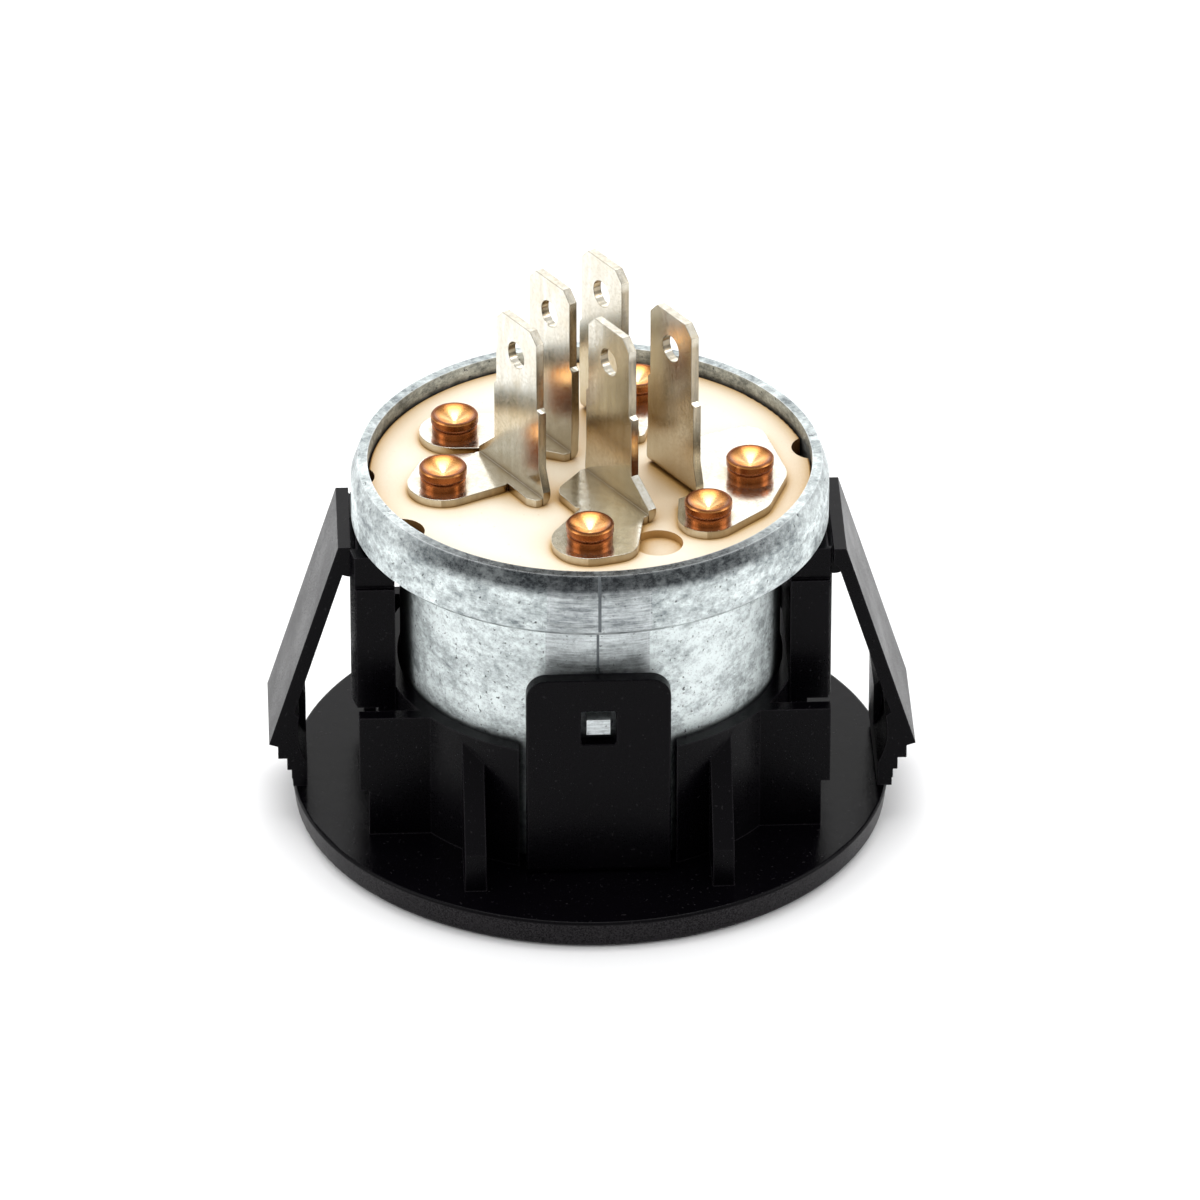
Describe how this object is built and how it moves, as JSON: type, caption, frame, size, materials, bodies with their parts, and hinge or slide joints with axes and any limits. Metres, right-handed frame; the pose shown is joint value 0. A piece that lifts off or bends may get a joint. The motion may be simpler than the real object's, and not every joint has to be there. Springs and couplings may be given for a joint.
{
  "type": "key switch",
  "caption": "Snap-in rotary key switch: round black panel bezel with two snap arms, die-cast housing and flat blade terminals at the rear.",
  "frame": {"origin": "centre of the bezel's face, on the plane that the switch stands on", "axes": "+Z along the key's axis from the bezel face to the blade terminals, +X through the snap arms, -Y through the front latch tab"},
  "size_m": [0.058, 0.054, 0.05],
  "materials": {
    "black_nylon": "black moulded nylon, satin with a fine grain",
    "zinc_casting": "mottled passivated zinc die casting",
    "cream_phenolic": "cream moulded insulator, satin",
    "plated_brass": "tin-plated brass strip, bright, brass showing at the cut edges",
    "copper_rivet": "bright copper rivet",
    "zinc_plug": "satin zinc plug",
    "steel_cap": "polished stainless face cap",
    "spring_steel": "bright spring wire",
    "wafer_brass": "stamped brass",
    "seal_rubber": "black rubber",
    "rotor_nylon": "natural nylon"
  },
  "bodies": {
    "base": {"bezel_body": "black_nylon", "switch_housing": "zinc_casting", "terminal_plate": "cream_phenolic", "blade_terminal_1": "plated_brass", "blade_terminal_2": "plated_brass", "blade_terminal_3": "plated_brass", "blade_terminal_4": "plated_brass", "blade_terminal_5": "plated_brass", "terminal_rivet_1": "copper_rivet", "terminal_rivet_2": "copper_rivet", "terminal_rivet_3": "copper_rivet", "terminal_rivet_4": "copper_rivet", "terminal_rivet_5": "copper_rivet", "terminal_rivet_6": "copper_rivet", "return_spring": "spring_steel"},
    "right_arm": {"right_snap_arm": "black_nylon"},
    "left_arm": {"left_snap_arm": "black_nylon"},
    "front_tab": {"front_latch_tab": "black_nylon"},
    "rear_tab": {"rear_latch_tab": "black_nylon"},
    "lock_rotor": {"lock_plug": "zinc_plug", "face_cap": "steel_cap", "shutter_pin": "spring_steel", "shutter_spring": "spring_steel", "plug_seal": "seal_rubber", "plug_clip": "spring_steel", "contact_rotor": "rotor_nylon", "contact_spring": "spring_steel", "detent_spring_1": "spring_steel", "detent_spring_2": "spring_steel", "wafer_spring_1": "spring_steel", "wafer_spring_2": "spring_steel", "wafer_spring_3": "spring_steel", "wafer_spring_4": "spring_steel"},
    "shutter": {"key_shutter": "steel_cap"},
    "bridge": {"contact_bridge": "copper_rivet"},
    "ball_1": {"detent_ball_1": "spring_steel"},
    "ball_2": {"detent_ball_2": "spring_steel"},
    "wafer_body_1": {"wafer_1": "wafer_brass"},
    "wafer_body_2": {"wafer_2": "wafer_brass"},
    "wafer_body_3": {"wafer_3": "wafer_brass"},
    "wafer_body_4": {"wafer_4": "wafer_brass"}
  },
  "joints": [
    {"name": "key_turn", "type": "hinge", "parent": "base", "child": "lock_rotor", "pos_m": [0, 0, 0.01], "axis": [0, 0, 1], "range_deg": [0, 80], "deforming": ["return_spring"]},
    {"name": "right_arm_flex", "type": "hinge", "parent": "base", "child": "right_arm", "pos_m": [0.0215, 0, 0.02685], "axis": [0, 1, 0], "range_deg": [0, 14], "stiffness_Nm_per_rad": 0.05},
    {"name": "left_arm_flex", "type": "hinge", "parent": "base", "child": "left_arm", "pos_m": [-0.0215, 0, 0.02685], "axis": [0, -1, 0], "range_deg": [0, 14], "stiffness_Nm_per_rad": 0.05},
    {"name": "front_tab_flex", "type": "hinge", "parent": "base", "child": "front_tab", "pos_m": [0, -0.0182, 0.0036], "axis": [1, 0, 0], "range_deg": [0, 6], "stiffness_Nm_per_rad": 0.2},
    {"name": "rear_tab_flex", "type": "hinge", "parent": "base", "child": "rear_tab", "pos_m": [0, 0.0182, 0.0036], "axis": [-1, 0, 0], "range_deg": [0, 6], "stiffness_Nm_per_rad": 0.2},
    {"name": "shutter_swing", "type": "hinge", "parent": "lock_rotor", "child": "shutter", "pos_m": [0, 0.002, 0.00175], "axis": [-1, 0, 0], "range_deg": [0, 85], "stiffness_Nm_per_rad": 0.0002, "deforming": ["shutter_spring"]},
    {"name": "bridge_press", "type": "slide", "parent": "lock_rotor", "child": "bridge", "axis": [0, 0, 1], "range_m": [-0.0008, 0], "stiffness_N_per_m": 2000, "springref_m": 0.001, "deforming": ["contact_spring"]},
    {"name": "ball_1_press", "type": "slide", "parent": "lock_rotor", "child": "ball_1", "axis": [0, 1, 0], "range_m": [0, 0.00055], "stiffness_N_per_m": 1500, "springref_m": 0.0005, "deforming": ["detent_spring_1"]},
    {"name": "ball_2_press", "type": "slide", "parent": "lock_rotor", "child": "ball_2", "axis": [0, -1, 0], "range_m": [0, 0.00055], "stiffness_N_per_m": 1500, "springref_m": 0.0005, "deforming": ["detent_spring_2"]},
    {"name": "wafer_1_slide", "type": "slide", "parent": "lock_rotor", "child": "wafer_body_1", "axis": [1, 0, 0], "range_m": [-0.0008, 0], "stiffness_N_per_m": 200, "deforming": ["wafer_spring_1"]},
    {"name": "wafer_2_slide", "type": "slide", "parent": "lock_rotor", "child": "wafer_body_2", "axis": [1, 0, 0], "range_m": [-0.0008, 0], "stiffness_N_per_m": 200, "deforming": ["wafer_spring_2"]},
    {"name": "wafer_3_slide", "type": "slide", "parent": "lock_rotor", "child": "wafer_body_3", "axis": [1, 0, 0], "range_m": [-0.0008, 0], "stiffness_N_per_m": 200, "deforming": ["wafer_spring_3"]},
    {"name": "wafer_4_slide", "type": "slide", "parent": "lock_rotor", "child": "wafer_body_4", "axis": [1, 0, 0], "range_m": [-0.0008, 0], "stiffness_N_per_m": 200, "deforming": ["wafer_spring_4"]}
  ]
}
